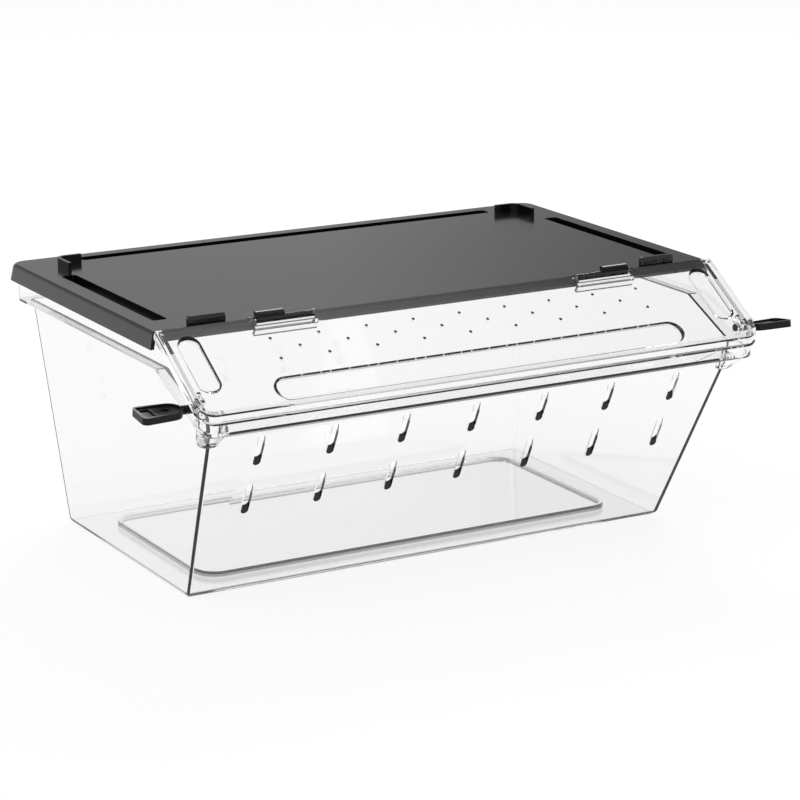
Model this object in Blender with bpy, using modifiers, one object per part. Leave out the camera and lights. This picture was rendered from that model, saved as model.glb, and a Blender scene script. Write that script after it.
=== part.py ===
"""Clear reptile habitat box: tapered tub, black stacking lid, hinged front door and two turn keys.

Metres, +Z up. The door faces -Y, the origin is at floor level in the middle of the outer box.
Run with: blender --background --python part.py
"""
import math

import bmesh
import bpy
from mathutils import Matrix, Vector

MM = 0.001

# Driving sizes of the whole box
deck_length = 320.0 * MM
deck_depth = 179.0 * MM
box_height = 140.0 * MM
door_reach = 51.0 * MM
door_slope = math.radians(32.7)

# Clearances and the overrun that every cut uses
seat_gap = 0.3 * MM
side_gap = 0.4 * MM
overrun = 4.0 * MM

# Tub
tub_wall = 2.0 * MM
side_foot_inset = 20.2 * MM
back_foot_inset = 20.5 * MM
front_foot_inset = 11.7 * MM
side_ledge = 6.0 * MM
front_ledge = 11.0 * MM
rim_height = 17.5 * MM
front_rim_height = 10.5 * MM
ledge_bend_inset = 3.0 * MM
ledge_thickness = 2.0 * MM
tub_front_radius = 1.2 * MM
tub_back_radius = 4.0 * MM
tub_inner_front_radius = 0.5 * MM
tub_foot_radius = 2.4 * MM
floor_step = 1.9 * MM
floor_margin = 18.0 * MM
floor_corner_radius = 12.0 * MM
gusset_height = 8.5 * MM
gusset_foot_radius = 5.2 * MM
gusset_foot_round = 2.6 * MM
gusset_rim_margin = 0.6 * MM
gusset_head_inset = 1.5 * MM
gusset_foot_inset = 0.6 * MM
slot_columns = 7
slot_pitch = 39.8 * MM
slot_width = 4.1 * MM
slot_height = 14.5 * MM
slot_rows = 2
slot_row_pitch = 31.3 * MM
slot_first_drop = 18.9 * MM
slot_cut = 14.0 * MM

# Lid
lid_wall = 2.0 * MM
skirt_height = 8.7 * MM
skirt_flare = 1.4 * MM
lid_corner_radius = 8.0 * MM
lid_edge_radius = 1.8 * MM
lip_length = 6.2 * MM
groove_width = 8.0 * MM
groove_depth = 4.2 * MM
groove_wall = 1.4 * MM
groove_corner_radius = 2.0 * MM
side_groove_inset = 13.8 * MM
side_groove_length = 112.0 * MM
side_groove_front_inset = 20.6 * MM
back_groove_inset = 13.0 * MM
back_groove_length = 250.0 * MM
lug_height = 4.4 * MM
lug_wall = 1.8 * MM
lug_side_leg = 17.0 * MM
lug_back_leg = 13.0 * MM
tab_width = 20.0 * MM
tab_height = 4.6 * MM
tab_wall = 2.0 * MM
tab_front_inset = 2.6 * MM
tab_corner_radius = 1.6 * MM

# Door
door_wall = 2.2 * MM
skirt_wall = 2.0 * MM
door_back_gap = 1.8 * MM
door_skirt_drop = 2.0 * MM
door_corner_radius = 9.0 * MM
door_edge_radius = 1.9 * MM
vent_radius = 0.9 * MM
vent_pitch = 26.3 * MM
vent_row_counts = (9, 8, 9)
vent_first_row = 16.0 * MM
vent_row_pitch = 6.74 * MM
bar_length = 233.0 * MM
bar_width = 14.0 * MM
bar_front_inset = 3.4 * MM
bar_depth = 1.1 * MM
bar_draft = 0.4 * MM
oval_length = 37.0 * MM
oval_width = 11.4 * MM
oval_side_inset = 13.2 * MM
oval_back_inset = 7.7 * MM
oval_depth = 1.1 * MM
oval_draft = 0.4 * MM

# Hinges
hinge_centre = 92.1 * MM
hinge_width = 36.7 * MM
hinge_arm = 2.5 * MM
hinge_bar = 3.3 * MM
hinge_rise = 0.5 * MM
hinge_arm_inset = 0.1 * MM
pin_radius = 1.0 * MM
pin_setback = 1.5 * MM
pin_clearance = 0.35 * MM
hook_side_gap = 1.0 * MM
hook_wall = 1.9 * MM
hook_rise = 0.7 * MM
hook_neck_degrees = 40
hook_curl_degrees = 150
window_gap = 0.5 * MM
hinge_rib_depth = 4.5 * MM
hinge_rib_wall = 1.8 * MM

# Turn keys
key_distance = 46.0 * MM
key_depth = 5.6 * MM
shank_radius = 2.25 * MM
thread_depth = 0.35 * MM
thread_pitch = 1.5 * MM
key_clearance = 0.3 * MM
shank_outside = 5.9 * MM
tongue_radius = 2.0 * MM
tongue_length = 2.8 * MM
tongue_flat = 0.4 * MM
ear_wall = 1.3 * MM
ear_thickness = 2.0 * MM
ear_back_degrees = 55
ear_front_degrees = 175
ear_foot_degrees = 262
paddle_length = 22.6 * MM
paddle_outer_width = 15.0 * MM
paddle_inner_width = 13.0 * MM
paddle_thickness = 3.6 * MM
paddle_corner_radius = 2.6 * MM
paddle_border = 1.2 * MM
paddle_recess = 0.8 * MM
paddle_pocket_length = 5.0 * MM
paddle_pocket_depth = 0.8 * MM
paddle_hole_radius = 2.0 * MM
paddle_eyelet_radius = 0.7 * MM
left_key_tilt = math.radians(8.0)
right_key_tilt = math.radians(-7.7)

arc_steps = 8
edge_steps = 3
circle_steps = 24
vent_steps = 12

# Places worked out from the sizes above, as seen from the front with +Y to the back
total_depth = door_reach + deck_depth + skirt_flare
door_front = -total_depth / 2
deck_front = door_front + door_reach
deck_back = deck_front + deck_depth
deck_side = deck_length / 2

rim_side = deck_side - lid_wall - side_gap
rim_back = deck_back - lid_wall - side_gap
rim_front = door_front + skirt_wall + side_gap
rim_top = box_height - lid_wall - seat_gap
rim_bottom = rim_top - rim_height
rim_back_radius = lid_corner_radius - lid_wall - side_gap
rim_front_radius = door_corner_radius - skirt_wall - side_gap
slope_rise = math.tan(door_slope)

foot_side = deck_side - side_foot_inset
foot_back = deck_back - back_foot_inset
foot_front = deck_front + front_foot_inset


def slope(distance, height):
    """(y, z) of a point at a distance down the door's slope and a height square to it."""
    y = deck_front - distance * math.cos(door_slope) - height * math.sin(door_slope)
    z = box_height - distance * math.sin(door_slope) + height * math.cos(door_slope)
    return (y, z)


def slope_line_height(y):
    """Height of the slope's own line above a given y."""
    return box_height - (deck_front - y) * slope_rise


front_rim_bottom = slope_line_height(rim_front) - front_rim_height
ledge_bend = deck_front + ledge_bend_inset
pin_height = seat_gap + door_wall / 2 + pin_clearance / 4
pin_place = slope(pin_setback, pin_height)
key_place = slope(key_distance, -key_depth)
key_side = rim_side - tub_wall / 2


def clear_scene():
    for item in list(bpy.data.objects):
        bpy.data.objects.remove(item, do_unlink=True)


def new_collection(name):
    collection = bpy.data.collections.new(name)
    bpy.context.scene.collection.children.link(collection)
    return collection


clear_scene()
parts = new_collection("reptile_habitat_box")
cutters = new_collection("cutters")


def new_material(name, colour, roughness, alpha=1.0, transmission=0.0):
    material = bpy.data.materials.new(name)
    material.use_nodes = True
    shader = material.node_tree.nodes["Principled BSDF"]
    shader.inputs["Base Color"].default_value = (*colour, 1.0)
    shader.inputs["Roughness"].default_value = roughness
    shader.inputs["Metallic"].default_value = 0.0
    shader.inputs["Alpha"].default_value = alpha
    shader.inputs["Transmission Weight"].default_value = transmission
    material.diffuse_color = (*colour, alpha)
    return material


def new_solid(name, bm):
    """Object in the parts collection from a bmesh, faces turned outwards."""
    bmesh.ops.recalc_face_normals(bm, faces=bm.faces)
    mesh = bpy.data.meshes.new(name)
    bm.to_mesh(mesh)
    bm.free()
    solid = bpy.data.objects.new(name, mesh)
    parts.objects.link(solid)
    return solid


def tool(solid):
    """Move a solid to the cutters, where it stays visible as wire only."""
    parts.objects.unlink(solid)
    cutters.objects.link(solid)
    solid.hide_render = True
    solid.display_type = "WIRE"
    return solid


def combine(target, other, operation):
    modifier = target.modifiers.new(other.name, "BOOLEAN")
    modifier.operation = operation
    modifier.solver = "EXACT"
    modifier.object = tool(other)
    return target


def cut(target, other):
    return combine(target, other, "DIFFERENCE")


def join(target, other):
    return combine(target, other, "UNION")


def keep_common(target, other):
    return combine(target, other, "INTERSECT")


def round_edges(bm, edges, radius, steps):
    if radius > 0.0:
        bmesh.ops.bevel(bm, geom=edges, offset=radius, segments=steps, profile=0.5, affect="EDGES")


def block(name, halves, front, back, corners=(0.0, 0.0), edges=(0.0, 0.0), sharp_back=False):
    """Solid with four upright corners, symmetric in X.

    halves holds half the width at the foot and at the head. front and back each hold the (y, z) of the foot
    and of the head of that face. corners holds the radii of the front and the back upright corners, edges the
    radii of the edges that run round the foot and the head. With sharp_back the back edges aren't rounded.
    """
    bm = bmesh.new()
    bmesh.ops.create_cube(bm, size=2.0)
    front_edges = []
    back_edges = []
    for edge in bm.edges:
        first, second = edge.verts
        if abs(first.co.z - second.co.z) > 1.0:
            if first.co.y < 0.0:
                front_edges.append(edge)
            else:
                back_edges.append(edge)
    for vert in bm.verts:
        face = front if vert.co.y < 0.0 else back
        level = 1 if vert.co.z > 0.0 else 0
        side = 1 if vert.co.x > 0.0 else -1
        vert.co = (side * halves[level], face[level][0], face[level][1])
    back_line = min(y for y, z in back) - seat_gap

    def is_kept_sharp(edge):
        return sharp_back and all(vert.co.y > back_line for vert in edge.verts)

    round_edges(bm, front_edges, corners[0], arc_steps)
    round_edges(bm, back_edges, corners[1], arc_steps)
    for radius, pick in zip(edges, (min, max)):
        end_face = pick(bm.faces, key=lambda face: face.calc_center_median().z)
        round_edges(bm, [edge for edge in end_face.edges if not is_kept_sharp(edge)], radius, edge_steps)
    return new_solid(name, bm)


def arc(centre_x, centre_y, radius, start, end, steps=arc_steps):
    """Points along an arc, angles in degrees, both ends included."""
    points = []
    for index in range(steps + 1):
        angle = math.radians(start + (end - start) * index / steps)
        points.append((centre_x + radius * math.cos(angle), centre_y + radius * math.sin(angle)))
    return points


def rounded_rectangle(centre_x, centre_y, width, height, radius, steps=arc_steps):
    x = width / 2 - radius
    y = height / 2 - radius
    points = []
    for sign_x, sign_y, start in ((1, 1, 0), (-1, 1, 90), (-1, -1, 180), (1, -1, 270)):
        points += arc(centre_x + sign_x * x, centre_y + sign_y * y, radius, start, start + 90, steps)
    return points


def circle(centre_x, centre_y, radius, steps=circle_steps):
    return arc(centre_x, centre_y, radius, 0, 360, steps)[:-1]


def without_repeats(points):
    """Outline points with each one that repeats its neighbour left out."""
    kept = []
    for point in points:
        if not kept or math.dist(point, kept[-1]) > seat_gap / 100:
            kept.append(point)
    if math.dist(kept[0], kept[-1]) < seat_gap / 100:
        kept.pop()
    return kept


def plate(name, outlines, thickness, matrix):
    """Flat outlines in the matrix's XY plane, thickened evenly to both sides of it."""
    curve = bpy.data.curves.new(name, "CURVE")
    curve.dimensions = "2D"
    curve.fill_mode = "BOTH"
    curve.extrude = thickness / 2
    for outline in outlines:
        points = without_repeats(outline)
        spline = curve.splines.new("POLY")
        spline.points.add(len(points) - 1)
        for spline_point, (x, y) in zip(spline.points, points):
            spline_point.co = (x, y, 0.0, 1.0)
        spline.use_cyclic_u = True
    flat = bpy.data.objects.new(name + "_outline", curve)
    flat.matrix_world = matrix
    parts.objects.link(flat)
    bpy.context.view_layer.update()
    depsgraph = bpy.context.evaluated_depsgraph_get()
    mesh = bpy.data.meshes.new_from_object(flat.evaluated_get(depsgraph))
    bm = bmesh.new()
    bm.from_mesh(mesh)
    bmesh.ops.remove_doubles(bm, verts=bm.verts, dist=seat_gap / 100)
    solid = new_solid(name, bm)
    solid.matrix_world = flat.matrix_world
    bpy.data.objects.remove(flat, do_unlink=True)
    bpy.data.meshes.remove(mesh)
    return solid


def plane(origin, x_axis, y_axis):
    x = Vector(x_axis).normalized()
    y = Vector(y_axis).normalized()
    matrix = Matrix((x, y, x.cross(y))).transposed().to_4x4()
    matrix.translation = Vector(origin)
    return matrix


def profile_plane(x):
    """Plane square to X at a given x, whose own XY are the world's YZ."""
    return plane((x, 0.0, 0.0), (0.0, 1.0, 0.0), (0.0, 0.0, 1.0))


def profile_solid(name, outline, x_min, x_max):
    """(y, z) outline carried along X between two places."""
    return plate(name, [outline], x_max - x_min, profile_plane((x_min + x_max) / 2))


def slope_plane(height):
    """Plane along the door; its own y is minus the distance down the slope."""
    y, z = slope(0.0, height)
    return plane((0.0, y, z), (1.0, 0.0, 0.0), (0.0, math.cos(door_slope), math.sin(door_slope)))


def deck_plane(z):
    return Matrix.Translation((0.0, 0.0, z))


def round_bar(name, place, radius, x_min, x_max, steps=circle_steps):
    """Round bar along X, centred on a (y, z) place."""
    bm = bmesh.new()
    turn = Matrix.Rotation(math.radians(90), 4, "Y")
    move = Matrix.Translation(((x_min + x_max) / 2, *place))
    bmesh.ops.create_cone(
        bm,
        cap_ends=True,
        segments=steps,
        radius1=radius,
        radius2=radius,
        depth=x_max - x_min,
        matrix=move @ turn,
    )
    return new_solid(name, bm)


def finish(solid, material, origin):
    """Settle a part's modifiers, shade it, give it its material and put its origin in place."""
    bpy.context.view_layer.update()
    depsgraph = bpy.context.evaluated_depsgraph_get()
    mesh = bpy.data.meshes.new_from_object(solid.evaluated_get(depsgraph))
    mesh.transform(Matrix.Translation(-Vector(origin)) @ solid.matrix_world)
    mesh.shade_smooth()
    mesh.set_sharp_from_angle(angle=math.radians(30))
    mesh.materials.clear()
    mesh.materials.append(material)
    solid.modifiers.clear()
    solid.data = mesh
    solid.matrix_world = Matrix.Translation(origin)
    return solid


def carry(child, carrier):
    child.parent = carrier
    child.matrix_parent_inverse = carrier.matrix_world.inverted()


# Tub

def wall_slant(top, foot):
    return (top - foot) / rim_bottom


side_slant = wall_slant(rim_side - side_ledge, foot_side)
back_slant = wall_slant(rim_back - side_ledge, foot_back)
front_slant = (rim_front + front_ledge - foot_front) / front_rim_bottom


def tapered_block(name, z_foot, z_head, inset, radii, foot_edge):
    """The tub's tapered form between two heights, drawn in by a wall measured square to it."""
    side_inset = inset * math.hypot(1.0, side_slant)
    back_inset = inset * math.hypot(1.0, back_slant)
    front_inset = inset * math.hypot(1.0, front_slant)
    front = []
    back = []
    halves = []
    for z in (z_foot, z_head):
        halves.append(foot_side + side_slant * z - side_inset)
        back.append((foot_back + back_slant * z - back_inset, z))
        front.append((foot_front + front_slant * z + front_inset, z))
    return block(name, halves, front, back, radii, (foot_edge, 0.0))


def rim_line(lift):
    """(y, z) points of the ledge's underside from back to front, raised by a lift."""
    run = ledge_bend - rim_front
    fall = (rim_bottom - front_rim_bottom) / run
    return [
        (rim_back + overrun, rim_bottom + lift),
        (ledge_bend, rim_bottom + lift),
        (rim_front - overrun, front_rim_bottom - overrun * fall + lift),
    ]


def upright_block(name, inset, z_foot, z_head):
    """Rim's plan shape, drawn in by an inset, between two heights."""
    front = rim_front + inset
    back = rim_back - inset
    return block(
        name,
        (rim_side - inset, rim_side - inset),
        ((front, z_foot), (front, z_head)),
        ((back, z_foot), (back, z_head)),
        (rim_front_radius - inset, rim_back_radius - inset),
    )


def make_rim():
    rim = upright_block("tub_rim", 0.0, front_rim_bottom - overrun, rim_top)
    flat_end = deck_front - (box_height - rim_top) / slope_rise
    upper = [
        (rim_front - overrun, slope_line_height(rim_front - overrun)),
        (flat_end, rim_top),
        (flat_end, rim_top + overrun),
        (rim_back + overrun, rim_top + overrun),
    ]
    band = profile_solid("rim_side_view", rim_line(0.0) + upper, -rim_side - overrun, rim_side + overrun)
    return keep_common(rim, band)


def make_rim_pocket():
    """Space above the ledge, inside the upstand."""
    pocket = upright_block("rim_pocket", tub_wall, front_rim_bottom - overrun, rim_top + overrun)
    line = rim_line(ledge_thickness)
    upper = [(line[-1][0], rim_top + overrun * 2), (line[0][0], rim_top + overrun * 2)]
    above = profile_solid("above_ledge", line + upper, -rim_side, rim_side)
    return keep_common(pocket, above)


def make_tub_body():
    body = tapered_block("tub", 0.0, rim_top, 0.0, (tub_front_radius, tub_back_radius), tub_foot_radius)
    line = rim_line(ledge_thickness / 2)
    lower = [(line[-1][0], -overrun), (line[0][0], -overrun)]
    return keep_common(body, profile_solid("below_ledge", line + lower, -deck_side, deck_side))


def add_gussets(body):
    """Cones that carry the ledge at its front corners."""
    foot_z = front_rim_bottom - gusset_height
    top_radius = rim_front_radius - gusset_rim_margin + gusset_head_inset
    corner_x = rim_side - gusset_rim_margin - top_radius
    corner_y = rim_front + gusset_rim_margin + top_radius
    foot_x = foot_side + side_slant * foot_z - gusset_foot_inset
    foot_y = foot_front + front_slant * foot_z + gusset_foot_inset
    column_height = ledge_thickness * 3
    for side, word in ((-1, "left"), (1, "right")):
        bm = bmesh.new()
        bmesh.ops.create_cone(
            bm,
            cap_ends=True,
            segments=circle_steps,
            radius1=gusset_foot_radius,
            radius2=top_radius,
            depth=gusset_height,
        )
        foot = min(bm.faces, key=lambda face: face.calc_center_median().z)
        round_edges(bm, list(foot.edges), gusset_foot_round, edge_steps)
        for vert in bm.verts:
            if vert.co.z > 0.0:
                vert.co += Vector((side * corner_x, corner_y, front_rim_bottom - gusset_height / 2))
            else:
                vert.co += Vector((side * foot_x, foot_y, foot_z + gusset_height / 2))
        cap = max(bm.faces, key=lambda face: face.calc_center_median().z)
        grown = bmesh.ops.extrude_face_region(bm, geom=[cap])["geom"]
        raised = [item for item in grown if isinstance(item, bmesh.types.BMVert)]
        bmesh.ops.translate(bm, verts=raised, vec=(0.0, 0.0, column_height))
        if cap.is_valid:
            bmesh.ops.delete(bm, geom=[cap], context="FACES_ONLY")
        join(body, new_solid(word + "_gusset", bm))


def make_slots():
    """Two rows of slots, drawn on the leaning front wall and cut upright, as a mould's shut-offs leave them."""
    up = Vector((0.0, front_slant, 1.0)).normalized()
    wall_top = Vector((0.0, foot_front + front_slant * front_rim_bottom, front_rim_bottom))
    outlines = []
    for row in range(slot_rows):
        drop = slot_first_drop + row * slot_row_pitch
        for column in range(slot_columns):
            x = (column - (slot_columns - 1) / 2) * slot_pitch
            outlines.append(rounded_rectangle(x, -drop, slot_width, slot_height, slot_width / 2))
    sheared = Matrix(((1.0, 0.0, 0.0), up, (0.0, 0.0, -1.0))).transposed().to_4x4()
    sheared.translation = wall_top
    slots = plate("front_slots", outlines, slot_cut, Matrix())
    slots.data.transform(sheared)
    return slots


def floor_panel(name, z_foot, z_head, grow):
    width = (foot_side - floor_margin + grow) * 2
    front = foot_front + floor_margin - grow
    back = foot_back - floor_margin + grow
    outline = rounded_rectangle(0.0, (front + back) / 2, width, back - front, floor_corner_radius + grow)
    return plate(name, [outline], z_head - z_foot, deck_plane((z_foot + z_head) / 2))


def make_tub(material):
    tub = make_tub_body()
    join(tub, make_rim())
    add_gussets(tub)
    cut(tub, make_rim_pocket())
    inner_radii = (tub_inner_front_radius, tub_back_radius - tub_wall)
    head = rim_top + overrun
    cut(tub, tapered_block("tub_inside", tub_wall, head, tub_wall, inner_radii, tub_foot_radius / 2))
    join(tub, floor_panel("raised_floor", tub_wall / 2, tub_wall + floor_step, 0.0))
    cut(tub, floor_panel("floor_recess", -overrun, floor_step, -tub_wall))
    cut(tub, make_slots())
    for side, word in ((-1, "left"), (1, "right")):
        ends = sorted((side * (rim_side - tub_wall - side_gap), side * (rim_side + overrun)))
        hole = round_bar(word + "_key_hole", key_place, shank_radius + key_clearance, *ends)
        cut(tub, hole)
    return finish(tub, material, (0.0, 0.0, 0.0))


# Lid

def lid_block(name, inset, z_foot, z_head, front):
    """Lid's flared form between two heights, drawn in by an inset."""
    halves = []
    backs = []
    for z in (z_foot, z_head):
        flare = skirt_flare * (box_height - z) / skirt_height
        halves.append(deck_side - inset + flare)
        backs.append((deck_back - inset + flare, z))
    fronts = ((front, z_foot), (front, z_head))
    edge = max(lid_edge_radius - inset, 0.0)
    return block(name, halves, fronts, backs, (0.0, lid_corner_radius - inset), (0.0, edge))


def make_lid_front_cutter():
    """Box that ends the lid's form squarely at the deck's front edge."""
    low = box_height - skirt_height - overrun
    high = box_height + overrun
    far = deck_front - overrun * 2
    half = deck_side + skirt_flare + overrun
    back = ((deck_front, low), (deck_front, high))
    return block("lid_front_cut", (half, half), ((far, low), (far, high)), back)


def make_lip():
    """Front edge of the deck, bent down along the slope under the door."""
    half = rim_side - tub_wall - side_gap
    bend = lid_wall * math.tan(door_slope / 2)
    outline = [
        (deck_front + lid_wall, box_height - lid_wall),
        (deck_front + lid_wall, box_height),
        slope(0.0, 0.0),
        slope(lip_length, 0.0),
        slope(lip_length, -lid_wall),
        slope(-bend, -lid_wall),
    ]
    return profile_solid("lid_lip", outline, -half, half)


def groove_outlines(grow):
    side_x = deck_side - side_groove_inset
    side_y = deck_front + side_groove_front_inset + side_groove_length / 2
    back_y = deck_back - back_groove_inset
    width = groove_width + grow * 2
    radius = groove_corner_radius + grow
    outlines = [rounded_rectangle(0.0, back_y, back_groove_length + grow * 2, width, radius)]
    for side in (-1, 1):
        outlines.append(rounded_rectangle(side * side_x, side_y, width, side_groove_length + grow * 2, radius))
    return outlines


def add_grooves(lid):
    """Channels sunk in the deck, walled below it."""
    foot = box_height - groove_depth - groove_wall
    head = box_height - lid_wall / 2
    walls = plate("groove_walls", groove_outlines(groove_wall), head - foot, deck_plane((foot + head) / 2))
    join(lid, walls)
    cut(lid, plate("deck_grooves", groove_outlines(0.0), groove_depth * 2, deck_plane(box_height)))


def make_back_lug(word, side):
    """Corner wall that holds the foot of a box stacked on top."""
    x = foot_side + side_gap
    y = foot_back + side_gap
    inner = tub_back_radius
    outer = inner + lug_wall
    outline = arc(x - inner, y - inner, inner, 90, 0)
    outline += [(x, y - lug_side_leg), (x + lug_wall, y - lug_side_leg)]
    outline += arc(x - inner, y - inner, outer, 0, 90)
    outline += [(x - lug_back_leg, y + lug_wall), (x - lug_back_leg, y)]
    mirrored = [(side * point_x, point_y) for point_x, point_y in outline]
    height = lug_height + lid_wall / 2
    return plate(word + "_back_lug", [mirrored], height, deck_plane(box_height - lid_wall / 2 + height / 2))


def make_front_tab(word, side):
    """Upright tab across the deck's front corner, its top corners rounded."""
    height = tab_height + lid_wall / 2
    x = side * (foot_side + side_gap - tab_width / 2)
    left = -tab_width / 2
    right = tab_width / 2
    radius = tab_corner_radius
    outline = [(left, 0.0), (right, 0.0)]
    outline += arc(right - radius, height - radius, radius, 0, 90)
    outline += arc(left + radius, height - radius, radius, 90, 180)
    middle = deck_front + tab_front_inset + tab_wall / 2
    base = plane((x, middle, box_height - lid_wall / 2), (1.0, 0.0, 0.0), (0.0, 0.0, 1.0))
    return plate(word + "_front_tab", [outline], tab_wall, base)


def hook_outline(reach_degrees):
    """(y, z) outline of a hook that stands on the lip in front of the pin and curls over it."""
    inner = pin_radius + pin_clearance
    outer = inner + hook_wall
    sunk = -lid_wall / 2
    local = [(outer, sunk - pin_height)]
    for angle in steps_of_angle(0, reach_degrees):
        local.append((outer * math.cos(angle), outer * math.sin(angle) + hook_rise))
    for angle in steps_of_angle(reach_degrees, 0):
        local.append((inner * math.cos(angle), inner * math.sin(angle)))
    local += [(inner, sunk - pin_height)]
    return [slope(pin_setback + s, pin_height + h) for s, h in local]


def steps_of_angle(start, end):
    return [math.radians(start + (end - start) * index / arc_steps) for index in range(arc_steps + 1)]


def add_hooks(lid):
    """Each hinge has a low neck along its inner half and a full curl along its outer half."""
    low = hinge_centre - hinge_width / 2 + hinge_arm + hook_side_gap
    high = hinge_centre + hinge_width / 2 - hinge_arm - hook_side_gap
    middle = (low + high) / 2
    for side, word in ((-1, "left"), (1, "right")):
        neck_ends = sorted((side * low, side * high))
        curl_ends = sorted((side * middle, side * high))
        join(lid, profile_solid(word + "_hook_neck", hook_outline(hook_neck_degrees), *neck_ends))
        join(lid, profile_solid(word + "_hook_curl", hook_outline(hook_curl_degrees), *curl_ends))


def make_lid(material):
    skirt_foot = box_height - skirt_height
    lid = lid_block("lid", 0.0, skirt_foot, box_height, deck_front - overrun)
    cut(lid, make_lid_front_cutter())
    ceiling = box_height - lid_wall
    cut(lid, lid_block("lid_inside", lid_wall, skirt_foot - overrun, ceiling, deck_front - overrun))
    join(lid, make_lip())
    add_grooves(lid)
    for side, word in ((-1, "left"), (1, "right")):
        join(lid, make_back_lug(word, side))
        join(lid, make_front_tab(word, side))
    add_hooks(lid)
    return finish(lid, material, (0.0, 0.0, 0.0))


# Door

plate_top = seat_gap + door_wall


def loft(name, foot_outline, foot_height, head_outline, head_height):
    """Solid along the slope between two outlines of as many points, at two heights over the slope."""
    bm = bmesh.new()
    rings = []
    for outline, height in ((foot_outline, foot_height), (head_outline, head_height)):
        matrix = slope_plane(height)
        points = without_repeats(outline)
        rings.append([bm.verts.new(matrix @ Vector((x, y, 0.0))) for x, y in points])
    foot, head = rings
    bm.faces.new(list(reversed(foot)))
    bm.faces.new(head)
    for index in range(len(foot)):
        after = (index + 1) % len(foot)
        bm.faces.new((foot[index], foot[after], head[after], head[index]))
    return new_solid(name, bm)


def slope_face(distance_back, low, high, front):
    """Front and back faces, each (foot, head), of a solid that lies along the slope."""
    heads = []
    for height in (low, high):
        distance = (deck_front - front - height * math.sin(door_slope)) / math.cos(door_slope)
        heads.append(slope(distance, height))
    return heads, [slope(distance_back, low), slope(distance_back, high)]


def make_tray():
    front, back = slope_face(door_back_gap, -door_skirt_drop, plate_top, door_front)
    corners = (door_corner_radius, 0.0)
    edges = (0.0, door_edge_radius)
    tray = block("door", (deck_side, deck_side), front, back, corners, edges, sharp_back=True)
    inner_front = door_front + skirt_wall
    front, back = slope_face(-overrun, -door_skirt_drop - overrun, seat_gap, inner_front)
    inner_side = deck_side - skirt_wall
    inner_radius = door_corner_radius - skirt_wall
    inside = block("door_inside", (inner_side, inner_side), front, back, (inner_radius, 0.0))
    return cut(tray, inside)


def add_emboss(door, name, outlines_at, depth, draft):
    """Recess with leaning walls in the plate's top, and a matching swelling below it."""
    low = seat_gap - depth
    high = seat_gap + door_wall / 2
    slack = draft * (high - seat_gap) / depth
    for floor_outline, head_outline in zip(outlines_at(-draft), outlines_at(slack)):
        join(door, loft(name + "_swelling", floor_outline, low, head_outline, high))
    low = plate_top - depth
    high = plate_top + overrun
    slack = draft * overrun / depth
    for floor_outline, head_outline in zip(outlines_at(-draft), outlines_at(slack)):
        cut(door, loft(name + "_recess", floor_outline, low, head_outline, high))


def bar_outlines(grow):
    front = (deck_front - door_front) / math.cos(door_slope)
    distance = front - bar_front_inset - skirt_wall - bar_width / 2
    width = bar_width + grow * 2
    return [rounded_rectangle(0.0, -distance, bar_length + grow * 2, width, width / 2)]


def oval_outlines(grow):
    distance = oval_back_inset + oval_length / 2
    width = oval_width + grow * 2
    outlines = []
    for side in (-1, 1):
        x = side * (deck_side - oval_side_inset)
        outlines.append(rounded_rectangle(x, -distance, width, oval_length + grow * 2, width / 2))
    return outlines


def make_vents():
    outlines = []
    for row, count in enumerate(vent_row_counts):
        distance = vent_first_row + row * vent_row_pitch
        for index in range(count):
            x = (index - (count - 1) / 2) * vent_pitch
            outlines.append(circle(x, -distance, vent_radius, vent_steps))
    return plate("vent_holes", outlines, door_wall + overrun, slope_plane(seat_gap + door_wall / 2))


def hook_reach():
    """Furthest that the lid's hook stands from the pin's axis."""
    return pin_radius + pin_clearance + hook_wall + hook_rise


def hinge_arm_outline(window):
    """(y, z) outline of an arm from the window's near edge back round the pin."""
    radius = pin_radius + pin_clearance / 2
    front = window + hinge_bar / 2
    top = plate_top + hinge_rise - hinge_arm_inset
    outline = [(pin_setback, pin_height - radius), (front, pin_height - radius), (front, top)]
    for angle in steps_of_angle(90, 270):
        outline.append((pin_setback + radius * math.cos(angle), pin_height + radius * math.sin(angle)))
    return [slope(s, h) for s, h in outline[:-1]]


def add_hinge_window(door, word, side):
    """Raised frame round a window for the lid's hook, the pin across its back and a rib under its front."""
    window = pin_setback + hook_reach() + window_gap
    low = hinge_centre - hinge_width / 2
    high = hinge_centre + hinge_width / 2
    middle = side * hinge_centre
    frame_end = window + hinge_bar
    frame_middle = -(pin_setback + frame_end) / 2
    frame = rounded_rectangle(middle, frame_middle, hinge_width, frame_end - pin_setback, pin_clearance, 2)
    frame_height = door_wall / 2 + hinge_rise
    frame_plane = slope_plane(plate_top + hinge_rise - frame_height / 2)
    join(door, plate(word + "_hinge_frame", [frame], frame_height, frame_plane))
    for place in (low, high - hinge_arm):
        ends = sorted((side * (place + hinge_arm_inset), side * (place + hinge_arm - hinge_arm_inset)))
        join(door, profile_solid(word + "_hinge_arm", hinge_arm_outline(window), *ends))
    rib_back = lip_length + side_gap
    rib = [
        (rib_back, seat_gap + door_wall / 3),
        (rib_back, seat_gap - hinge_rib_depth),
        (rib_back + hinge_rib_wall, seat_gap - hinge_rib_depth),
        (rib_back + hinge_rib_wall, seat_gap + door_wall / 3),
    ]
    rib_ends = sorted((side * (low + hinge_arm / 2), side * (high - hinge_arm / 2)))
    join(door, profile_solid(word + "_hinge_rib", [slope(s, h) for s, h in rib], *rib_ends))
    opening_middle = -(window - overrun) / 2
    opening_width = hinge_width - hinge_arm * 2
    opening = rounded_rectangle(middle, opening_middle, opening_width, window + overrun, pin_clearance, 2)
    opening_plane = slope_plane(seat_gap + door_wall / 2)
    cut(door, plate(word + "_window", [opening], door_wall + overrun, opening_plane))
    pin_ends = sorted((side * (low + hinge_arm / 2), side * (high - hinge_arm / 2)))
    join(door, round_bar(word + "_hinge_pin", pin_place, pin_radius, *pin_ends))


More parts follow.
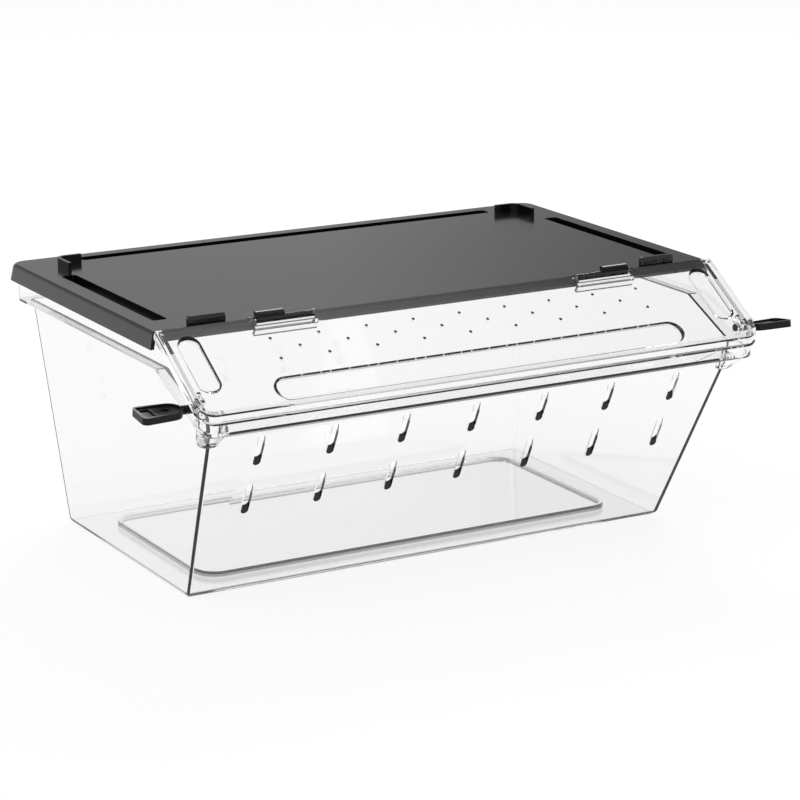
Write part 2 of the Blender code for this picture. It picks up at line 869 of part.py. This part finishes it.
def ear_outline():
    """(y, z) outline of the ear: a hook over the key's tongue, open below and behind it."""
    inner = tongue_radius + key_clearance
    outer = inner + ear_wall
    y, z = key_place
    outline = arc(y, z, outer, ear_back_degrees, ear_back_degrees, 1)
    outline += [slope(key_distance - outer, seat_gap + door_wall / 2)]
    outline += [slope(key_distance + outer, seat_gap + door_wall / 2)]
    outline += arc(y, z, outer, ear_front_degrees, ear_foot_degrees)
    outline += arc(y, z, inner, ear_foot_degrees, ear_back_degrees, arc_steps * 2)
    return outline


def make_door(material):
    door = make_tray()
    add_emboss(door, "long_bar", bar_outlines, bar_depth, bar_draft)
    add_emboss(door, "oval", oval_outlines, oval_depth, oval_draft)
    cut(door, make_vents())
    for side, word in ((-1, "left"), (1, "right")):
        add_hinge_window(door, word, side)
        inner_face = rim_side - tub_wall - side_gap
        ends = sorted((side * (inner_face - ear_thickness), side * inner_face))
        join(door, profile_solid(word + "_ear", ear_outline(), *ends))
    return finish(door, material, (0.0, *pin_place))


# Turn keys

def make_shank(word):
    """Grooved round shank along +X from the key hole's plane outwards, its tip cut half away."""
    tongue_end = -tub_wall / 2
    inner_end = tongue_end - tongue_length
    outer_end = shank_outside + shank_radius
    profile = [(inner_end, 0.0), (inner_end, tongue_radius), (tongue_end, tongue_radius)]
    x = tongue_end
    while x + thread_pitch < shank_outside:
        profile += [
            (x, shank_radius - thread_depth),
            (x + thread_pitch / 4, shank_radius),
            (x + thread_pitch / 2, shank_radius),
            (x + thread_pitch * 3 / 4, shank_radius - thread_depth),
        ]
        x += thread_pitch
    profile += [(x, shank_radius), (outer_end, shank_radius), (outer_end, 0.0)]
    mesh = bpy.data.meshes.new(word + "_shank")
    edges = [(index, index + 1) for index in range(len(profile) - 1)]
    mesh.from_pydata([(radius, 0.0, -x) for x, radius in profile], edges, [])
    shank = bpy.data.objects.new(word + "_shank", mesh)
    shank.matrix_world = Matrix.Rotation(math.radians(-90), 4, "Y")
    parts.objects.link(shank)
    turn = shank.modifiers.new("turn", "SCREW")
    turn.axis = "Z"
    turn.steps = circle_steps
    turn.render_steps = circle_steps
    turn.use_merge_vertices = True
    turn.merge_threshold = seat_gap / 100
    return shank


def paddle_outline(grow):
    """Plan of the paddle: round at the shank, straight flanks that widen outwards."""
    inner = paddle_inner_width / 2 + grow
    outer = paddle_outer_width / 2 + grow
    corner = paddle_corner_radius + grow
    start = shank_outside + paddle_inner_width / 2
    end = shank_outside + paddle_length + grow
    outline = arc(start, 0.0, inner, 90, 270, arc_steps * 2)
    outline += arc(end - corner, -outer + corner, corner, 270, 360)
    outline += arc(end - corner, outer - corner, corner, 0, 90)
    return outline


def make_tongue_cutter(word):
    """Box that takes the front half off the shank's tip."""
    reach = shank_radius + overrun
    half = (tongue_length + overrun) / 2
    front = ((-reach, -reach), (-reach, reach))
    back = ((tongue_flat, -reach), (tongue_flat, reach))
    cutter = block(word + "_tongue_cut", (half, half), front, back)
    cutter.location.x = -tub_wall / 2 - half
    return cutter


def make_key(word, side, tilt, material):
    paddle = plate(word + "_key", [paddle_outline(0.0)], paddle_thickness, Matrix.Identity(4))
    join(paddle, make_shank(word))
    border_top = paddle_thickness / 2 - paddle_recess
    for face in (-1, 1):
        recess = plate(word + "_key_recess", [paddle_outline(-paddle_border)], paddle_recess + overrun,
                       deck_plane(face * (border_top + (paddle_recess + overrun) / 2)))
        cut(paddle, recess)
    pocket_x = shank_outside + paddle_length - paddle_border * 2 - paddle_pocket_length / 2
    pocket_width = paddle_outer_width - paddle_border * 5
    pocket = rounded_rectangle(pocket_x, 0.0, paddle_pocket_length, pocket_width, paddle_corner_radius / 3)
    cut(paddle, plate(word + "_key_pocket", [pocket], paddle_pocket_depth * 2, deck_plane(border_top)))
    hole_x = shank_outside + paddle_inner_width / 2 + paddle_hole_radius
    eyelet_x = hole_x + paddle_hole_radius * 2 + paddle_eyelet_radius
    holes = [circle(hole_x, 0.0, paddle_hole_radius), circle(eyelet_x, 0.0, paddle_eyelet_radius, vent_steps)]
    cut(paddle, plate(word + "_key_holes", holes, paddle_pocket_depth * 2, deck_plane(border_top)))
    cut(paddle, make_tongue_cutter(word))
    mirror = Matrix.Diagonal((side, 1.0, 1.0, 1.0))
    place = Matrix.Rotation(tilt, 4, "X") @ mirror
    return finish_key(paddle, material, place, (side * key_side, *key_place))


def finish_key(key, material, place, origin):
    finish(key, material, (0.0, 0.0, 0.0))
    key.data.transform(place)
    if place.determinant() < 0.0:
        key.data.flip_normals()
    key.location = origin
    return key


def build():
    clear = new_material("clear_plastic", (0.93, 0.94, 0.94), 0.06, alpha=0.3, transmission=1.0)
    black = new_material("gloss_black_plastic", (0.012, 0.012, 0.013), 0.15)
    satin = new_material("satin_black_plastic", (0.03, 0.03, 0.032), 0.35)
    tub = make_tub(clear)
    lid = make_lid(black)
    door = make_door(clear)
    carry(lid, tub)
    carry(door, lid)
    for word, side, tilt in (("left", -1, left_key_tilt), ("right", 1, right_key_tilt)):
        carry(make_key(word, side, tilt, satin), tub)


build()
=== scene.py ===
"""Looks of the reptile habitat box: clear plastic tub and door, gloss black lid, satin black keys."""
import math

import bmesh
import bpy
from mathutils import Matrix, Vector


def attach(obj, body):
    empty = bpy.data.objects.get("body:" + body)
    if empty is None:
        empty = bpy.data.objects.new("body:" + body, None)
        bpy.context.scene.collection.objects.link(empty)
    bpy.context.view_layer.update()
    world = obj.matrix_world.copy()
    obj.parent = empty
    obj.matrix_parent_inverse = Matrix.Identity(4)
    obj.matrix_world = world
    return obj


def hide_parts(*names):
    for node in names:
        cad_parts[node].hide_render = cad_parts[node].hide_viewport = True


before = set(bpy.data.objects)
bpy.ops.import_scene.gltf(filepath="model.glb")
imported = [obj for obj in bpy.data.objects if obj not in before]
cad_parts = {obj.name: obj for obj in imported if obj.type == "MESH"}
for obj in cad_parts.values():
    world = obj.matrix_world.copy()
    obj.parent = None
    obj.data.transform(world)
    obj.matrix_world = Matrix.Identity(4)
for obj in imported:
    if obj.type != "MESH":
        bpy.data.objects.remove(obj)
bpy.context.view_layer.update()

MM = 0.001

# Camera, as fitted to the photograph
camera_azimuth = math.radians(-29.503)
camera_elevation = math.radians(15.18)
camera_roll = math.radians(-0.142)
camera_distance = 1.569958
camera_slide_right = 0.01665
camera_slide_up = 0.064103
camera_lens_mm = 132.085
sensor_width_mm = 36.0
nearest_seen = 0.01
farthest_seen = 100.0
aim_depth = 0.0143

# World: light level at each height of the direction looked in, from 0 at the horizon to 1 overhead
sky_levels = ((0.1, 1.0), (0.19, 0.53), (0.35, 0.46), (0.7, 0.42), (0.86, 0.76))
card_levels = ((0.25, 0.0), (0.28, 0.45), (0.34, 0.45), (0.38, 0.0))

# World: where the loss to the right, the sky that it dims and the card behind the box set in
right_span = (0.46, 0.56)
right_loss = 0.55
above_span = (0.1, 0.17)
behind_span = (0.55, 0.7)

# Floor
floor_half_size = 40.0
floor_level = -0.3 * MM
floor_grey = 0.14
floor_glow = 0.89

# Lamps: name, place, size and power in watts
lamps = (
    ("key_lamp", (-1.2, -0.6, 1.8), (1.4, 1.4), 8.0),
    ("edge_lamp", (0.86, 1.1, 1.25), (1.1, 0.4), 12.0),
)

# Clear plastic, and the tone of painted shade on its narrow faces that look dark
clear_index = 1.52
clear_roughness = 0.01
clear_grain_scale = 30.0
clear_grain_height = 0.02 * MM
clear_depth_colour = (0.6, 0.61, 0.61, 1.0)
clear_depth_density = 34.0
painted_shade_tone = 0.12

# Black plastic, and how far its tone drifts
black_index = 1.43
cloud_scale = 25.0
cloud_shares = (0.7, 1.3)
blue_share = 1.08

# Black plastics: name, tone, roughness, specular level, and the grain's scale and height; the first
# look is black painted shade for the slots' feet, the others are real black plastic
slot_painted_shade_look = ("slot_painted_shade_plastic", 0.004, 0.3, 0.5, 900.0, 0.01 * MM)
gloss_look = ("gloss_black_plastic", 0.005, 0.13, 0.5, 900.0, 0.01 * MM)
satin_look = ("satin_black_plastic", 0.006, 0.3, 0.3, 1400.0, 0.03 * MM)

# Grain of all plastics
grain_detail = 3.0
grain_shares = (0.8, 1.2)
grain_bump = 0.3

# Front slots, whose foot faces get black painted shade: their pitch, how far a slot's faces are from
# its middle, and the zone that they lie in
slot_pitch = 39.8 * MM
slot_reach = 2.255 * MM
slot_zone_z = (35.0 * MM, 96.0 * MM)
slot_zone_back = -60.0 * MM
slot_face_front = -0.2
slot_face_upright = 0.1

# Upper face of the rim's ledge: its level part, the slope of its front part and the rim's inner faces
ledge_top = 122.20 * MM
ledge_bend_y = -61.70 * MM
ledge_fall = 0.42443
ledge_tolerance = 0.05 * MM
ledge_drop = 1.2 * MM
rim_inner_x = 155.65 * MM
rim_inner_front = -111.35 * MM
rim_inner_back = 109.95 * MM

# Hollow of a front gusset, from its foot up: x, y and z of each ring's middle and its radius, in mm
funnel_rings = (
    (148.2, -98.6, 91.1, 2.8),
    (148.4, -99.6, 92.2, 4.0),
    (149.5, -105.2, 98.3, 6.0),
    (149.5, -105.2, 108.5, 6.0),
)
funnel_steps = 32

# Raised floor panel: half its length, front, back, and the levels of the recess under it and its top
panel_half_x = 121.8 * MM
panel_front = -35.0 * MM
panel_back = 75.8 * MM
panel_levels = (1.9 * MM, 3.9 * MM)
panel_lift = 1.0 * MM
panel_side_upright = 0.3
tub_wall = 2.0 * MM

# Door's slope and the y and z of its upper edge
door_slope = math.radians(32.7)
door_edge = (-64.7 * MM, 140.0 * MM)

# Recesses in the door: heights of their undersides, floors and walls' tops, and how far their ends lean
recess_levels = (-0.8 * MM, 1.4 * MM)
recess_top = 2.45 * MM
recess_lean = 1.3 * MM
recess_floor_level = 0.95

# Bar and ovals: their middles down the slope or across, half their lengths, and their end radii
bar_middle = 48.2 * MM
bar_half = 116.5 * MM
bar_radius = 7.0 * MM
oval_x = 146.8 * MM
oval_middle = 26.2 * MM
oval_half = 18.5 * MM
oval_radius = 5.7 * MM

# Light paths through the clear walls
most_bounces = 32
most_glossy_bounces = 12

# Mesh cleaning, the faces that stay flat, and how near a point lies to a level to be on it
merge_distance = 0.002 * MM
sharp_angle = math.radians(32)
flat_angle = math.radians(0.3)
broad_width = 2.5 * MM
level_tolerance = 0.03 * MM


def place_camera():
    """Camera at the photograph's angle, slid sideways and up in its own plane."""
    flat = math.cos(camera_elevation)
    back = Vector((
        math.sin(camera_azimuth) * flat,
        -math.cos(camera_azimuth) * flat,
        math.sin(camera_elevation),
    ))
    level_right = (-back).cross(Vector((0.0, 0.0, 1.0))).normalized()
    level_up = level_right.cross(-back)
    right = level_right * math.cos(camera_roll) + level_up * math.sin(camera_roll)
    up = level_up * math.cos(camera_roll) - level_right * math.sin(camera_roll)
    place = back * camera_distance + right * camera_slide_right + up * camera_slide_up
    place += Vector((0.0, aim_depth, 0.0))
    data = bpy.data.cameras.new("camera")
    data.lens = camera_lens_mm
    data.sensor_width = sensor_width_mm
    data.clip_start = nearest_seen
    data.clip_end = farthest_seen
    camera = bpy.data.objects.new("camera", data)
    turn = Matrix((right, up, back)).transposed()
    camera.matrix_world = Matrix.Translation(place) @ turn.to_4x4()
    bpy.context.scene.collection.objects.link(camera)
    bpy.context.scene.camera = camera


def new_material(name):
    """Material with its nodes, its links and its shader."""
    material = bpy.data.materials.new(name)
    material.use_nodes = True
    nodes = material.node_tree.nodes
    return material, nodes, material.node_tree.links, nodes["Principled BSDF"]


def clear_plastic(name, tone):
    """Clear moulded plastic with a faint grey in its depth; a low tone darkens its colour as painted
    shade.
    """
    material, nodes, links, shader = new_material(name)
    shader.inputs["Base Color"].default_value = (tone, tone, tone, 1.0)
    shader.inputs["IOR"].default_value = clear_index
    shader.inputs["Transmission Weight"].default_value = 1.0
    add_grain(nodes, links, shader, clear_roughness, clear_grain_scale, clear_grain_height)
    absorb = nodes.new("ShaderNodeVolumeAbsorption")
    absorb.inputs["Color"].default_value = clear_depth_colour
    absorb.inputs["Density"].default_value = clear_depth_density
    links.new(absorb.outputs["Volume"], nodes["Material Output"].inputs["Volume"])
    return material


def add_grain(nodes, links, shader, roughness, scale, height):
    """Fine moulding texture: roughness a little uneven, with a low bump."""
    coordinates = nodes.new("ShaderNodeTexCoord")
    noise = nodes.new("ShaderNodeTexNoise")
    noise.inputs["Scale"].default_value = scale
    noise.inputs["Detail"].default_value = grain_detail
    links.new(coordinates.outputs["Object"], noise.inputs["Vector"])
    spread = nodes.new("ShaderNodeMapRange")
    spread.inputs["To Min"].default_value = roughness * grain_shares[0]
    spread.inputs["To Max"].default_value = roughness * grain_shares[1]
    links.new(noise.outputs["Fac"], spread.inputs["Value"])
    links.new(spread.outputs["Result"], shader.inputs["Roughness"])
    bump = nodes.new("ShaderNodeBump")
    bump.inputs["Distance"].default_value = height
    bump.inputs["Strength"].default_value = grain_bump
    links.new(noise.outputs["Fac"], bump.inputs["Height"])
    links.new(bump.outputs["Normal"], shader.inputs["Normal"])
    return coordinates


def black_plastic(name, tone, roughness, specular, scale, height):
    """Black moulded plastic whose tone drifts a little over the surface."""
    material, nodes, links, shader = new_material(name)
    shader.inputs["IOR"].default_value = black_index
    shader.inputs["Specular IOR Level"].default_value = specular
    coordinates = add_grain(nodes, links, shader, roughness, scale, height)
    cloud = nodes.new("ShaderNodeTexNoise")
    cloud.inputs["Scale"].default_value = cloud_scale
    links.new(coordinates.outputs["Object"], cloud.inputs["Vector"])
    tones = nodes.new("ShaderNodeValToRGB")
    for stop, share in zip(tones.color_ramp.elements, cloud_shares):
        stop.color = (tone * share, tone * share, tone * share * blue_share, 1.0)
    links.new(cloud.outputs["Fac"], tones.inputs["Fac"])
    links.new(tones.outputs["Color"], shader.inputs["Base Color"])
    return material


def loop_normals(mesh):
    """Normals that keep broad faces flat and blend the narrow ones between them."""
    faces = mesh.polygons
    around = [[] for _ in mesh.vertices]
    for face in faces:
        for vertex in face.vertices:
            around[vertex].append(face.index)
    directions = [face.normal.copy() for face in faces]
    areas = [face.area for face in faces]
    corners = [vertex.co for vertex in mesh.vertices]
    widths = []
    for face in faces:
        longest = max((corners[first] - corners[second]).length for first, second in face.edge_keys)
        widths.append(face.area / longest)
    limit = math.cos(sharp_angle)
    normals = []
    for face in faces:
        own = directions[face.index]
        for vertex in face.vertices:
            if widths[face.index] > broad_width:
                normals.append(own)
                continue
            near = [other for other in around[vertex] if directions[other].dot(own) > limit]
            widest = max(near, key=lambda other: widths[other])
            if widths[widest] > broad_width:
                normals.append(directions[widest])
                continue
            blend = Vector((0.0, 0.0, 0.0))
            for other in near:
                blend += directions[other] * areas[other]
            normals.append(blend.normalized())
    return normals


def cleaned(mesh, angle):
    """Mesh with repeated points merged and flat neighbours joined."""
    bm = bmesh.new()
    bm.from_mesh(mesh)
    bmesh.ops.remove_doubles(bm, verts=bm.verts, dist=merge_distance)
    bmesh.ops.dissolve_degenerate(bm, dist=merge_distance, edges=bm.edges)
    bmesh.ops.dissolve_limit(bm, angle_limit=angle, verts=bm.verts, edges=bm.edges)
    bm.to_mesh(mesh)
    bm.free()


def moulded(node, body, material, shape=None):
    """The node's own form with smooth curves, shown in the node's place."""
    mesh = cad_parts[node].data.copy()
    if shape:
        mesh = shape(mesh)
    mesh.name = node + "_moulding"
    cleaned(mesh, flat_angle)
    mesh.shade_smooth()
    mesh.normals_split_custom_set(loop_normals(mesh))
    piece = bpy.data.objects.new(node + "_moulding", mesh)
    bpy.context.scene.collection.objects.link(piece)
    mesh.materials.clear()
    mesh.materials.append(material)
    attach(piece, body)
    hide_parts(node)
    return piece


def level_ramp(nodes, links, height, levels):
    """Grey level over the height of the direction looked in."""
    ramp = nodes.new("ShaderNodeValToRGB")
    first, last = ramp.color_ramp.elements
    first.position = 0.0
    last.position = 1.0
    for stop, level in ((first, levels[0][1]), (last, levels[-1][1])):
        stop.color = (level, level, level, 1.0)
    for place, level in levels:
        stop = ramp.color_ramp.elements.new(place)
        stop.color = (level, level, level, 1.0)
    links.new(height, ramp.inputs["Fac"])
    return ramp.outputs["Color"]


def step_up(nodes, links, value, span, top):
    """Nought up to the span's start, rising to a top at its end."""
    step = nodes.new("ShaderNodeMapRange")
    step.inputs["From Min"].default_value = span[0]
    step.inputs["From Max"].default_value = span[1]
    step.inputs["To Max"].default_value = top
    links.new(value, step.inputs["Value"])
    return step.outputs["Result"]


def calculate(nodes, links, operation, first, second):
    """Output of one sum on two numbers or sockets."""
    result = nodes.new("ShaderNodeMath")
    result.operation = operation
    for socket, value in zip(result.inputs, (first, second)):
        if isinstance(value, float):
            socket.default_value = value
        else:
            links.new(value, socket)
    return result.outputs["Value"]


def light_world():
    """Pale studio: white at the horizon, dimmer above it and to the right, a card behind the box."""
    world = bpy.data.worlds.new("studio")
    bpy.context.scene.world = world
    world.use_nodes = True
    nodes = world.node_tree.nodes
    links = world.node_tree.links
    background = nodes["Background"]
    coordinates = nodes.new("ShaderNodeTexCoord")
    split = nodes.new("ShaderNodeSeparateXYZ")
    links.new(coordinates.outputs["Generated"], split.inputs["Vector"])
    height = split.outputs["Z"]
    sky = level_ramp(nodes, links, height, sky_levels)
    card = level_ramp(nodes, links, height, card_levels)
    right = step_up(nodes, links, split.outputs["X"], right_span, right_loss)
    above = step_up(nodes, links, height, above_span, 1.0)
    behind = step_up(nodes, links, split.outputs["Y"], behind_span, 1.0)
    loss = calculate(nodes, links, "MULTIPLY", right, above)
    kept = calculate(nodes, links, "SUBTRACT", 1.0, loss)
    dimmed = calculate(nodes, links, "MULTIPLY", sky, kept)
    added = calculate(nodes, links, "MULTIPLY", card, behind)
    total = calculate(nodes, links, "ADD", dimmed, added)
    links.new(total, background.inputs["Strength"])
    background.inputs["Color"].default_value = (1.0, 1.0, 1.0, 1.0)


def make_floor():
    """Floor whose white is for the eye, gloss and clear plastic alone, and which keeps the shadow."""
    mesh = bpy.data.meshes.new("floor")
    bm = bmesh.new()
    bmesh.ops.create_grid(bm, x_segments=1, y_segments=1, size=floor_half_size)
    bm.to_mesh(mesh)
    bm.free()
    floor = bpy.data.objects.new("floor", mesh)
    floor.location.z = floor_level
    bpy.context.scene.collection.objects.link(floor)
    material, nodes, links, shader = new_material("floor")
    shader.inputs["Base Color"].default_value = (floor_grey, floor_grey, floor_grey, 1.0)
    shader.inputs["Roughness"].default_value = 1.0
    shader.inputs["Specular IOR Level"].default_value = 0.0
    shader.inputs["Emission Color"].default_value = (1.0, 1.0, 1.0, 1.0)
    path = nodes.new("ShaderNodeLightPath")
    seen = path.outputs["Is Camera Ray"]
    for kind in ("Is Glossy Ray", "Is Transmission Ray"):
        seen = calculate(nodes, links, "MAXIMUM", seen, path.outputs[kind])
    glow = calculate(nodes, links, "MULTIPLY", seen, floor_glow)
    links.new(glow, shader.inputs["Emission Strength"])
    mesh.materials.append(material)


def add_lamp(name, place, size, power):
    """Soft rectangular lamp that points at the frame's origin."""
    data = bpy.data.lights.new(name, "AREA")
    data.shape = "RECTANGLE"
    data.size, data.size_y = size
    data.energy = power
    lamp = bpy.data.objects.new(name, data)
    lamp.location = place
    lamp.rotation_euler = (-Vector(place)).to_track_quat("-Z", "Y").to_euler()
    bpy.context.scene.collection.objects.link(lamp)


def give_faces(piece, material, is_one):
    """Another material on the faces that a test picks by their middle and normal."""
    mesh = piece.data
    mesh.materials.append(material)
    index = len(mesh.materials) - 1
    for face in mesh.polygons:
        if is_one(face.center, face.normal):
            face.material_index = index


def is_painted_slot_shade(middle, normal):
    """Shut-off faces at the foot of each front slot, which get black painted shade where clear plastic
    looks dark.
    """
    column = round(middle.x / slot_pitch)
    low, high = slot_zone_z
    in_slot = abs(middle.x - column * slot_pitch) < slot_reach and low < middle.z < high
    faces_front = normal.y < slot_face_front and abs(normal.z) < slot_face_upright
    return in_slot and middle.y < slot_zone_back and faces_front


def is_panel_side(middle, normal):
    """Upright sides of the floor's raised panel, which get darkened clear plastic as painted shade."""
    in_height = tub_wall < middle.z < panel_levels[1] + panel_lift
    in_length = abs(middle.x) < panel_half_x + level_tolerance
    in_depth = panel_front - level_tolerance < middle.y < panel_back + level_tolerance
    return in_height and in_length and in_depth and abs(normal.z) < panel_side_upright


def door_place(point):
    """Distance of a point down the door's slope, and its height square to the slope."""
    back = point.y - door_edge[0]
    rise = point.z - door_edge[1]
    down = -back * math.cos(door_slope) - rise * math.sin(door_slope)
    height = rise * math.cos(door_slope) - back * math.sin(door_slope)
    return down, height


def is_recess_end(middle, normal):
    """Leaning walls at the round ends of the door's bar and ovals, which get darkened clear plastic as
    painted shade.
    """
    down, height = door_place(middle)
    lift = normal.z * math.cos(door_slope) - normal.y * math.sin(door_slope)
    in_wall = recess_levels[1] + level_tolerance < height < recess_top
    if not in_wall or abs(lift) > recess_floor_level:
        return False
    x = abs(middle.x)
    in_bar = abs(down - bar_middle) < bar_radius and bar_half - bar_radius < x < bar_half
    from_middle = abs(down - oval_middle)
    in_oval = abs(x - oval_x) < oval_radius and oval_half - oval_radius < from_middle < oval_half
    return in_bar or in_oval


def thin_ledge(mesh):
    """The rim's ledge as thin as it looks, its upper face lowered inside the rim."""
    for vertex in mesh.vertices:
        x, y, z = vertex.co
        run = max(ledge_bend_y - y, 0.0)
        upper = ledge_top - run * ledge_fall
        inside = abs(x) < rim_inner_x and rim_inner_front < y < rim_inner_back
        if inside and abs(z - upper) < ledge_tolerance:
            vertex.co.z -= ledge_drop


def lift_panel(mesh):
    """The floor's raised panel a little higher, with the recess under it."""
    for vertex in mesh.vertices:
        x, y, z = vertex.co
        in_length = abs(x) < panel_half_x + tub_wall
        in_depth = panel_front - tub_wall < y < panel_back + tub_wall
        from_level = min(abs(z - level) for level in panel_levels)
        if in_length and in_depth and from_level < level_tolerance:
            vertex.co.z += panel_lift


def end_share(distance, half, radius):
    """How far along a round end a place is: 0 where it starts, 1 at its tip."""
    return min(max((distance - half + radius) / radius, 0.0), 1.0)


def shape_door(mesh):
    """Door whose bar and ovals have wide leaning walls at their round ends."""
    cleaned(mesh, 0.0)
    for vertex in mesh.vertices:
        down, height = door_place(vertex.co)
        if min(abs(height - level) for level in recess_levels) > level_tolerance:
            continue
        x = abs(vertex.co.x)
        if abs(down - bar_middle) < bar_radius and x < bar_half:
            share = end_share(x, bar_half, bar_radius)
            vertex.co.x -= math.copysign(recess_lean * share, vertex.co.x)
        from_middle = down - oval_middle
        if abs(x - oval_x) < oval_radius and abs(from_middle) < oval_half:
            share = end_share(abs(from_middle), oval_half, oval_radius)
            lean = math.copysign(recess_lean * share, from_middle)
            vertex.co.y += lean * math.cos(door_slope)
            vertex.co.z += lean * math.sin(door_slope)
    return mesh


def make_funnel(side):
    """Space inside one front gusset, open to the rim's pocket."""
    bm = bmesh.new()
    rings = []
    for x, y, z, radius in funnel_rings:
        ring = []
        for index in range(funnel_steps):
            turn = math.tau * index / funnel_steps
            place = (side * (x + radius * math.cos(turn)), y + radius * math.sin(turn), z)
            ring.append(bm.verts.new([value * MM for value in place]))
        rings.append(ring)
    bm.faces.new(rings[0])
    bm.faces.new(rings[-1])
    for lower, upper in zip(rings, rings[1:]):
        for index in range(funnel_steps):
            after = (index + 1) % funnel_steps
            bm.faces.new((lower[index], lower[after], upper[after], upper[index]))
    bmesh.ops.recalc_face_normals(bm, faces=bm.faces)
    mesh = bpy.data.meshes.new("funnel")
    bm.to_mesh(mesh)
    bm.free()
    funnel = bpy.data.objects.new("funnel", mesh)
    bpy.context.scene.collection.objects.link(funnel)
    return funnel


def shape_tub(mesh):
    """Tub with a thin ledge, a higher floor panel and hollow front gussets."""
    cleaned(mesh, 0.0)
    thin_ledge(mesh)
    lift_panel(mesh)
    host = bpy.data.objects.new("tub_host", mesh)
    bpy.context.scene.collection.objects.link(host)
    funnels = [make_funnel(side) for side in (-1, 1)]
    for funnel in funnels:
        cut = host.modifiers.new("hollow", "BOOLEAN")
        cut.operation = "DIFFERENCE"
        cut.solver = "EXACT"
        cut.object = funnel
    bpy.context.view_layer.update()
    depsgraph = bpy.context.evaluated_depsgraph_get()
    result = bpy.data.meshes.new_from_object(host.evaluated_get(depsgraph))
    for item in (host, *funnels):
        bpy.data.objects.remove(item, do_unlink=True)
    return result


place_camera()
light_world()
make_floor()
for lamp in lamps:
    add_lamp(*lamp)

clear = clear_plastic("clear_plastic", 1.0)
# Clear plastic darkened as painted shade for narrow faces that look dark
painted_shade_clear = clear_plastic("clear_plastic_painted_shade", painted_shade_tone)
# Black painted shade for the slots' feet, where the clear plastic only looks dark
slot_painted_shade = black_plastic(*slot_painted_shade_look)
gloss_black = black_plastic(*gloss_look)
satin_black = black_plastic(*satin_look)

tub = moulded("tub", "tub", clear, shape_tub)
# The slots' foot faces get the black painted shade
give_faces(tub, slot_painted_shade, is_painted_slot_shade)
# The floor panel's sides get the darkened clear plastic as painted shade
give_faces(tub, painted_shade_clear, is_panel_side)
door = moulded("door", "door", clear, shape_door)
# The recess end walls get the darkened clear plastic as painted shade
give_faces(door, painted_shade_clear, is_recess_end)
moulded("lid", "lid", gloss_black)
moulded("left_key", "left_key", satin_black)
moulded("right_key", "right_key", satin_black)

bpy.context.scene.view_settings.view_transform = "Standard"
cycles = bpy.context.scene.cycles
cycles.max_bounces = most_bounces
cycles.transmission_bounces = most_bounces
cycles.glossy_bounces = most_glossy_bounces
